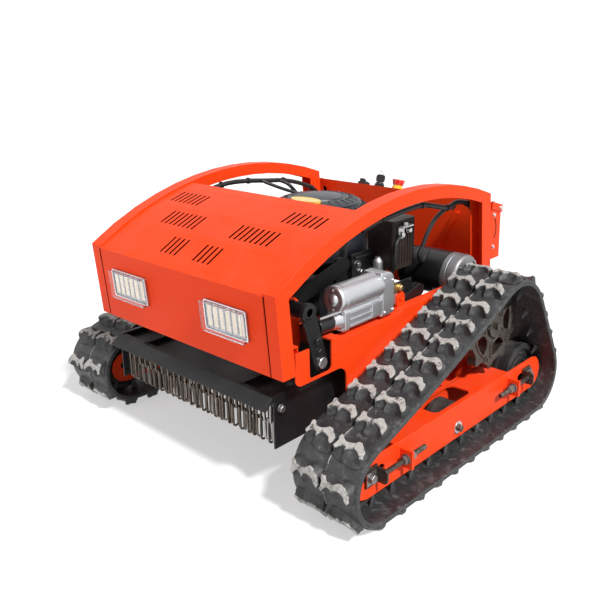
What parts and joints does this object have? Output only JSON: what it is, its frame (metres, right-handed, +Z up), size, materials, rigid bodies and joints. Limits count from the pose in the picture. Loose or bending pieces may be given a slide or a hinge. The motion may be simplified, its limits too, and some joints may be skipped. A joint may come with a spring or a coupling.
{
  "type": "tracked slope mower",
  "caption": "Low remote-controlled mower on two triangular rubber tracks, arched side bars, slotted hood with lamps, lift-adjusted cutter deck with a chain curtain",
  "frame": {"origin": "centre of the overall box in X and Y, on the ground under the tracks", "axes": "+Z up, the machine drives towards -Y, +X is its left side"},
  "size_m": [1.089, 0.9312, 0.6588],
  "materials": {
    "red_paint": "orange-red powder coat, semi-gloss",
    "black_paint": "black powder coat, semi-gloss",
    "rubber": "dusty dark grey rubber, worn pale on the lug tops",
    "dark_rubber": "matt black rubber",
    "cast_metal": "bright cast aluminium",
    "dark_iron": "dark oiled steel",
    "steel": "zinc plated chain, a little dull",
    "black_motor": "black enamel",
    "black_plastic": "black moulded plastic",
    "lamp_silver": "silvered lamp housing",
    "lamp_clear": "clear lamp cover",
    "stop_red": "red button",
    "stop_yellow": "yellow ring"
  },
  "bodies": {
    "chassis": {"side_plate_left": "red_paint", "side_plate_right": "red_paint", "front_crossmember": "red_paint", "rear_crossmember": "red_paint", "arch_left": "red_paint", "arch_right": "red_paint", "hood": "red_paint", "headlamp_housing_left": "lamp_silver", "headlamp_housing_right": "lamp_silver", "headlamp_lens_left": "lamp_clear", "headlamp_lens_right": "lamp_clear", "control_box": "red_paint", "control_box_lid": "red_paint", "receiver_unit": "black_plastic", "e_stop_base": "stop_yellow", "key_switch": "black_plastic", "rocker_bezel": "black_plastic", "track_beam_left": "red_paint", "track_beam_right": "red_paint", "track_left": "rubber", "track_right": "rubber", "gearbox_left": "cast_metal", "gearbox_right": "cast_metal", "drive_motor_left": "black_motor", "drive_motor_right": "black_motor", "actuator_body": "cast_metal", "battery": "black_plastic", "wiring_loom_left": "black_plastic", "wiring_loom_right": "black_plastic"},
    "sprocket_left": {"sprocket_left": "dark_iron"},
    "front_idler_left": {"front_idler_left": "dark_rubber"},
    "rear_idler_left": {"rear_idler_left": "dark_rubber"},
    "road_wheel_left": {"road_wheel_left": "dark_rubber"},
    "front_tensioner_left": {"front_tensioner_left": "dark_iron"},
    "rear_tensioner_left": {"rear_tensioner_left": "dark_iron"},
    "rear_crank_left": {"rear_crank_left": "black_paint"},
    "tie_rod_left": {"tie_rod_left": "black_paint"},
    "sprocket_right": {"sprocket_right": "dark_iron"},
    "front_idler_right": {"front_idler_right": "dark_rubber"},
    "rear_idler_right": {"rear_idler_right": "dark_rubber"},
    "road_wheel_right": {"road_wheel_right": "dark_rubber"},
    "front_tensioner_right": {"front_tensioner_right": "dark_iron"},
    "rear_tensioner_right": {"rear_tensioner_right": "dark_iron"},
    "rear_crank_right": {"rear_crank_right": "black_paint"},
    "tie_rod_right": {"tie_rod_right": "black_paint"},
    "lift": {"lift_shaft": "black_paint", "lift_lever_left": "black_paint", "lift_lever_right": "black_paint"},
    "actuator_rod": {"actuator_rod": "black_paint"},
    "deck": {"cutter_deck": "black_paint", "engine_block": "black_motor", "engine_cowl": "black_plastic", "muffler": "dark_iron", "air_cleaner": "black_plastic"},
    "blade": {"blade": "dark_iron"},
    "chain_curtain": {"chain_curtain": "steel"},
    "e_stop_button": {"e_stop_button": "stop_red"},
    "key": {"key": "black_plastic"},
    "rocker": {"rocker": "black_plastic"}
  },
  "joints": [
    {"name": "lift", "type": "hinge", "parent": "chassis", "child": "lift", "pos_m": [0, -0.34188, 0.445], "axis": [1, 0, 0], "range_deg": [-30, 0]},
    {"name": "deck_level", "type": "hinge", "parent": "lift", "child": "deck", "pos_m": [0, -0.14869, 0.49676], "axis": [1, 0, 0], "range_deg": [0, 30]},
    {"name": "rear_crank_left", "type": "hinge", "parent": "chassis", "child": "rear_crank_left", "pos_m": [0.307, -0.08888, 0.33], "axis": [1, 0, 0], "range_deg": [-30, 0]},
    {"name": "tie_rod_left", "type": "hinge", "parent": "lift", "child": "tie_rod_left", "pos_m": [0.317, -0.30288, 0.317], "axis": [1, 0, 0], "range_deg": [0, 30]},
    {"name": "rear_crank_right", "type": "hinge", "parent": "chassis", "child": "rear_crank_right", "pos_m": [-0.307, -0.08888, 0.33], "axis": [1, 0, 0], "range_deg": [-30, 0]},
    {"name": "tie_rod_right", "type": "hinge", "parent": "lift", "child": "tie_rod_right", "pos_m": [-0.317, -0.30288, 0.317], "axis": [1, 0, 0], "range_deg": [0, 30]},
    {"name": "actuator_stroke", "type": "slide", "parent": "chassis", "child": "actuator_rod", "axis": [0, -0.9998, -0.0187], "range_m": [0, 0.0325]},
    {"name": "blade_spin", "type": "hinge", "parent": "deck", "child": "blade", "pos_m": [0, 0.05112, 0.158], "axis": [0, 0, 1], "continuous": true},
    {"name": "curtain_swing", "type": "hinge", "parent": "deck", "child": "chain_curtain", "pos_m": [0, -0.40188, 0.232], "axis": [1, 0, 0], "range_deg": [-60, 60]},
    {"name": "drive_left", "type": "hinge", "parent": "chassis", "child": "sprocket_left", "pos_m": [0.4545, 0.21312, 0.289], "axis": [1, 0, 0], "continuous": true},
    {"name": "front_tension_left", "type": "slide", "parent": "chassis", "child": "front_tensioner_left", "axis": [0, 1, 0], "range_m": [0, 0.012]},
    {"name": "front_idler_left", "type": "hinge", "parent": "front_tensioner_left", "child": "front_idler_left", "pos_m": [0.4545, -0.34088, 0.114], "axis": [1, 0, 0], "continuous": true},
    {"name": "rear_tension_left", "type": "slide", "parent": "chassis", "child": "rear_tensioner_left", "axis": [0, -1, 0], "range_m": [0, 0.012]},
    {"name": "rear_idler_left", "type": "hinge", "parent": "rear_tensioner_left", "child": "rear_idler_left", "pos_m": [0.4545, 0.35312, 0.114], "axis": [1, 0, 0], "continuous": true},
    {"name": "road_wheel_left", "type": "hinge", "parent": "chassis", "child": "road_wheel_left", "pos_m": [0.4545, 0.00612, 0.09], "axis": [1, 0, 0], "continuous": true},
    {"name": "drive_right", "type": "hinge", "parent": "chassis", "child": "sprocket_right", "pos_m": [-0.4545, 0.21312, 0.289], "axis": [1, 0, 0], "continuous": true},
    {"name": "front_tension_right", "type": "slide", "parent": "chassis", "child": "front_tensioner_right", "axis": [0, 1, 0], "range_m": [0, 0.012]},
    {"name": "front_idler_right", "type": "hinge", "parent": "front_tensioner_right", "child": "front_idler_right", "pos_m": [-0.4545, -0.34088, 0.114], "axis": [1, 0, 0], "continuous": true},
    {"name": "rear_tension_right", "type": "slide", "parent": "chassis", "child": "rear_tensioner_right", "axis": [0, -1, 0], "range_m": [0, 0.012]},
    {"name": "rear_idler_right", "type": "hinge", "parent": "rear_tensioner_right", "child": "rear_idler_right", "pos_m": [-0.4545, 0.35312, 0.114], "axis": [1, 0, 0], "continuous": true},
    {"name": "road_wheel_right", "type": "hinge", "parent": "chassis", "child": "road_wheel_right", "pos_m": [-0.4545, 0.00612, 0.09], "axis": [1, 0, 0], "continuous": true},
    {"name": "e_stop_push", "type": "slide", "parent": "chassis", "child": "e_stop_button", "axis": [0, -0.2841, -0.9588], "range_m": [0, 0.005], "stiffness_N_per_m": 1200},
    {"name": "key_turn", "type": "hinge", "parent": "chassis", "child": "key", "pos_m": [-0.084, 0.42812, 0.5646], "axis": [0, 0.2841, 0.9588], "range_deg": [-90, 0]},
    {"name": "rocker_tilt", "type": "hinge", "parent": "chassis", "child": "rocker", "pos_m": [-0.148, 0.43011, 0.57131], "axis": [1, 0, 0], "range_deg": [0, 15]}
  ],
  "couplings": [
    {"joint": "deck_level", "follows": "lift", "ratio": -1},
    {"joint": "rear_crank_left", "follows": "lift", "ratio": 1},
    {"joint": "tie_rod_left", "follows": "lift", "ratio": -1},
    {"joint": "rear_crank_right", "follows": "lift", "ratio": 1},
    {"joint": "tie_rod_right", "follows": "lift", "ratio": -1},
    {"joint": "actuator_stroke", "follows": "lift", "m_per_rad": -0.0607},
    {"joint": "front_idler_left", "follows": "drive_left", "ratio": 1.4524},
    {"joint": "rear_idler_left", "follows": "drive_left", "ratio": 1.4524},
    {"joint": "road_wheel_left", "follows": "drive_left", "ratio": 2.0333},
    {"joint": "front_idler_right", "follows": "drive_right", "ratio": 1.4524},
    {"joint": "rear_idler_right", "follows": "drive_right", "ratio": 1.4524},
    {"joint": "road_wheel_right", "follows": "drive_right", "ratio": 2.0333}
  ]
}
